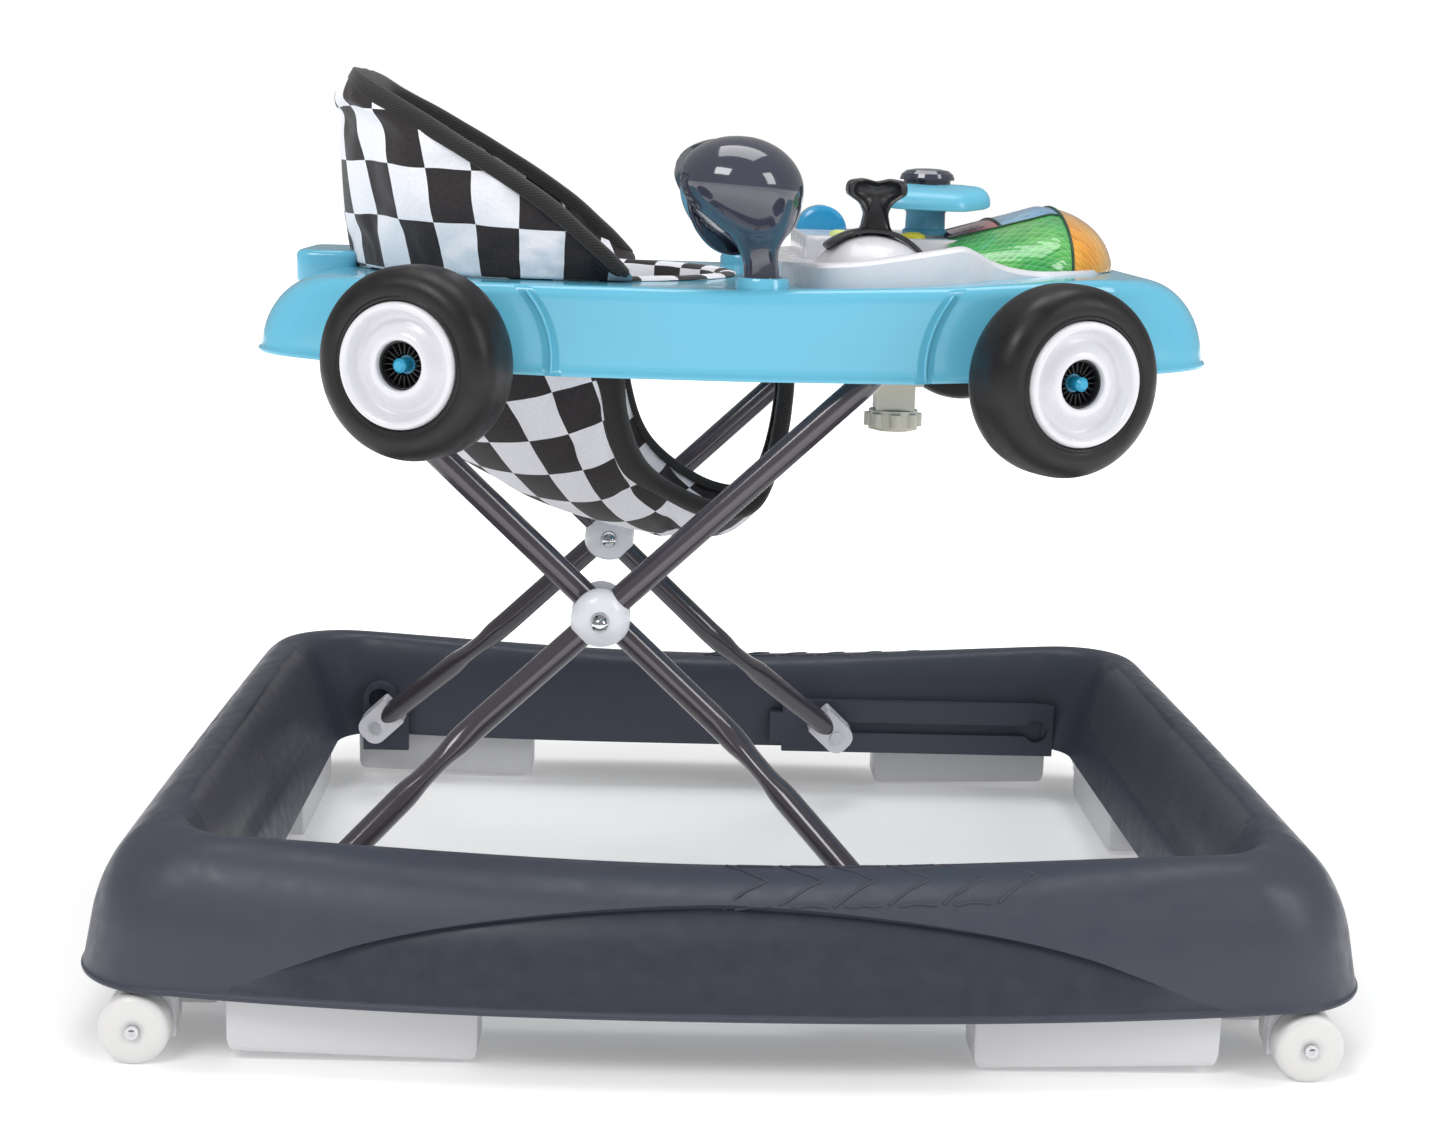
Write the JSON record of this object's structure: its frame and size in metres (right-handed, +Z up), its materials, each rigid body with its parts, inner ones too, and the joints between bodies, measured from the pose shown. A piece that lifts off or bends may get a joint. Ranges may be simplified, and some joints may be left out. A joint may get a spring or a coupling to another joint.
{
  "type": "baby walker",
  "caption": "Folding baby walker: wheeled base ring, scissor frame, racing-car play tray with toy wheels, mirrors and a padded check fabric seat.",
  "frame": {"origin": "On the floor under the middle of the base ring.", "axes": "+X to the car's front, +Y to the child's left, +Z up."},
  "size_m": [0.724, 0.63, 0.536],
  "materials": {
    "slate_plastic": "gloss, fine scratches",
    "white_plastic": "satin gloss",
    "clear_plastic": "translucent, gloss",
    "tube_metal": "gloss powder coat",
    "steel": "bright plated",
    "beige_plastic": "satin",
    "sky_plastic": "high gloss",
    "teal_plastic": "gloss",
    "black_plastic": "satin",
    "seat_fabric": "woven check, padded",
    "circuit_green": "satin",
    "nose_red": "gloss",
    "nose_blue": "gloss",
    "nose_green": "gloss",
    "nose_orange": "gloss",
    "mirror_glass": "mirror film",
    "tyre_black": "satin, blow moulded"
  },
  "bodies": {
    "base": {"base_shell": "slate_plastic", "slide_rail_left": "slate_plastic", "slide_rail_right": "slate_plastic", "pivot_brackets": "slate_plastic", "base_pads": "white_plastic", "castor_sockets": "clear_plastic"},
    "castor_front_left": {"castor_fork_front_left": "white_plastic"},
    "castor_roll_front_left": {"castor_wheels_front_left": "white_plastic"},
    "castor_front_right": {"castor_fork_front_right": "white_plastic"},
    "castor_roll_front_right": {"castor_wheels_front_right": "white_plastic"},
    "castor_rear_left": {"castor_fork_rear_left": "white_plastic"},
    "castor_roll_rear_left": {"castor_wheels_rear_left": "white_plastic"},
    "castor_rear_right": {"castor_fork_rear_right": "white_plastic"},
    "castor_roll_rear_right": {"castor_wheels_rear_right": "white_plastic"},
    "frame_a": {"frame_a_tube": "tube_metal", "frame_a_feet": "white_plastic", "rear_pivot_pins": "steel", "hub_caps_outer": "clear_plastic"},
    "frame_b": {"frame_b_tube": "tube_metal", "frame_b_feet": "white_plastic", "slider_pins": "steel", "hub_caps_inner": "clear_plastic", "hub_bolts": "steel"},
    "adjuster": {"adjuster_block": "beige_plastic"},
    "knob": {"adjuster_knob": "beige_plastic"},
    "tray": {"tray_shell": "sky_plastic", "rear_block": "sky_plastic", "hinge_clips": "white_plastic", "wheel_pins": "teal_plastic", "seat_ring": "black_plastic", "seat_back": "seat_fabric", "seat_sling": "seat_fabric", "console": "white_plastic", "circuit_board": "circuit_green", "speaker": "black_plastic", "battery_cover": "sky_plastic", "lever_dome": "white_plastic", "nose_red": "nose_red", "nose_blue": "nose_blue", "nose_green": "nose_green", "nose_orange": "nose_orange"},
    "steering": {"steering_wheel": "sky_plastic"},
    "horn": {"horn_boss": "slate_plastic"},
    "gear": {"gear_lever": "black_plastic"},
    "roller": {"toy_roller": "teal_plastic"},
    "yellow": {"yellow_button": "nose_orange"},
    "green": {"green_button": "nose_green"},
    "red": {"red_button": "nose_red"},
    "mirror_l": {"mirror_left": "slate_plastic", "mirror_glass_left": "mirror_glass"},
    "mirror_r": {"mirror_right": "slate_plastic", "mirror_glass_right": "mirror_glass"},
    "toy_wheel_front_left": {"tyre_front_left": "tyre_black", "rim_front_left": "white_plastic"},
    "toy_wheel_front_right": {"tyre_front_right": "tyre_black", "rim_front_right": "white_plastic"},
    "toy_wheel_rear_left": {"tyre_rear_left": "tyre_black", "rim_rear_left": "white_plastic"},
    "toy_wheel_rear_right": {"tyre_rear_right": "tyre_black", "rim_rear_right": "white_plastic"}
  },
  "joints": [
    {"name": "castor_swivel_front_left", "type": "hinge", "parent": "base", "child": "castor_front_left", "pos_m": [0.311, 0.279, 0.037], "axis": [0, 0, 1], "continuous": true},
    {"name": "castor_roll_front_left", "type": "hinge", "parent": "castor_front_left", "child": "castor_roll_front_left", "pos_m": [0.322, 0.279, 0.0193], "axis": [0, 1, 0], "continuous": true},
    {"name": "castor_swivel_front_right", "type": "hinge", "parent": "base", "child": "castor_front_right", "pos_m": [0.311, -0.279, 0.037], "axis": [0, 0, 1], "continuous": true},
    {"name": "castor_roll_front_right", "type": "hinge", "parent": "castor_front_right", "child": "castor_roll_front_right", "pos_m": [0.322, -0.279, 0.0193], "axis": [0, 1, 0], "continuous": true},
    {"name": "castor_swivel_rear_left", "type": "hinge", "parent": "base", "child": "castor_rear_left", "pos_m": [-0.311, 0.279, 0.037], "axis": [0, 0, 1], "continuous": true},
    {"name": "castor_roll_rear_left", "type": "hinge", "parent": "castor_rear_left", "child": "castor_roll_rear_left", "pos_m": [-0.322, 0.279, 0.0193], "axis": [0, 1, 0], "continuous": true},
    {"name": "castor_swivel_rear_right", "type": "hinge", "parent": "base", "child": "castor_rear_right", "pos_m": [-0.311, -0.279, 0.037], "axis": [0, 0, 1], "continuous": true},
    {"name": "castor_roll_rear_right", "type": "hinge", "parent": "castor_rear_right", "child": "castor_roll_rear_right", "pos_m": [-0.322, -0.279, 0.0193], "axis": [0, 1, 0], "continuous": true},
    {"name": "fold", "type": "hinge", "parent": "base", "child": "frame_a", "pos_m": [-0.254, 0, 0.055], "axis": [0, 1, 0], "range_deg": [0, 30]},
    {"name": "hub", "type": "hinge", "parent": "frame_a", "child": "frame_b", "pos_m": [-0.077, 0, 0.222], "axis": [0, -1, 0], "range_deg": [0, 60]},
    {"name": "tray_hinge", "type": "hinge", "parent": "frame_b", "child": "tray", "pos_m": [-0.254, 0, 0.389], "axis": [0, 1, 0], "range_deg": [0, 30]},
    {"name": "adjuster_level", "type": "hinge", "parent": "frame_a", "child": "adjuster", "pos_m": [0.1, 0, 0.389], "axis": [0, -1, 0], "range_deg": [0, 30]},
    {"name": "knob_turn", "type": "hinge", "parent": "adjuster", "child": "knob", "pos_m": [0.109, 0, 0.32], "axis": [0, 0, 1], "range_deg": [0, 270]},
    {"name": "steering_turn", "type": "hinge", "parent": "tray", "child": "steering", "pos_m": [0.124, 0, 0.42], "axis": [0, 0, 1], "range_deg": [-60, 60]},
    {"name": "horn_press", "type": "slide", "parent": "steering", "child": "horn", "axis": [0, 0, -1], "range_m": [0, 0.0025], "stiffness_N_per_m": 400, "springref_m": -0.002},
    {"name": "gear_rock", "type": "hinge", "parent": "tray", "child": "gear", "pos_m": [0.081, -0.085, 0.4094], "axis": [0, 1, 0], "range_deg": [-12, 12]},
    {"name": "roller_spin", "type": "hinge", "parent": "tray", "child": "roller", "pos_m": [0.063, 0.084, 0.445], "axis": [0, 1, 0], "continuous": true},
    {"name": "yellow_press", "type": "slide", "parent": "tray", "child": "yellow", "axis": [0, 0, -1], "range_m": [0, 0.0025], "stiffness_N_per_m": 300, "springref_m": -0.002},
    {"name": "green_press", "type": "slide", "parent": "tray", "child": "green", "axis": [0, 0, -1], "range_m": [0, 0.0025], "stiffness_N_per_m": 300, "springref_m": -0.002},
    {"name": "red_press", "type": "slide", "parent": "tray", "child": "red", "axis": [0, 0, -1], "range_m": [0, 0.0025], "stiffness_N_per_m": 300, "springref_m": -0.002},
    {"name": "mirror_turn_l", "type": "hinge", "parent": "tray", "child": "mirror_l", "pos_m": [0.013, 0.143, 0.4274], "axis": [0, 0, 1], "range_deg": [-25, 25]},
    {"name": "mirror_turn_r", "type": "hinge", "parent": "tray", "child": "mirror_r", "pos_m": [0.013, -0.143, 0.4274], "axis": [0, 0, 1], "range_deg": [-25, 25]},
    {"name": "toy_wheel_spin_front_left", "type": "hinge", "parent": "tray", "child": "toy_wheel_front_left", "pos_m": [0.19, 0.22, 0.375], "axis": [0.3746, 0.9272, 0], "continuous": true},
    {"name": "toy_wheel_spin_front_right", "type": "hinge", "parent": "tray", "child": "toy_wheel_front_right", "pos_m": [0.19, -0.22, 0.375], "axis": [0.3746, -0.9272, 0], "continuous": true},
    {"name": "toy_wheel_spin_rear_left", "type": "hinge", "parent": "tray", "child": "toy_wheel_rear_left", "pos_m": [-0.19, 0.22, 0.375], "axis": [-0.3746, 0.9272, 0], "continuous": true},
    {"name": "toy_wheel_spin_rear_right", "type": "hinge", "parent": "tray", "child": "toy_wheel_rear_right", "pos_m": [-0.19, -0.22, 0.375], "axis": [-0.3746, -0.9272, 0], "continuous": true}
  ],
  "couplings": [
    {"joint": "hub", "follows": "fold", "ratio": 2},
    {"joint": "tray_hinge", "follows": "fold", "ratio": 1},
    {"joint": "adjuster_level", "follows": "fold", "ratio": 1}
  ]
}
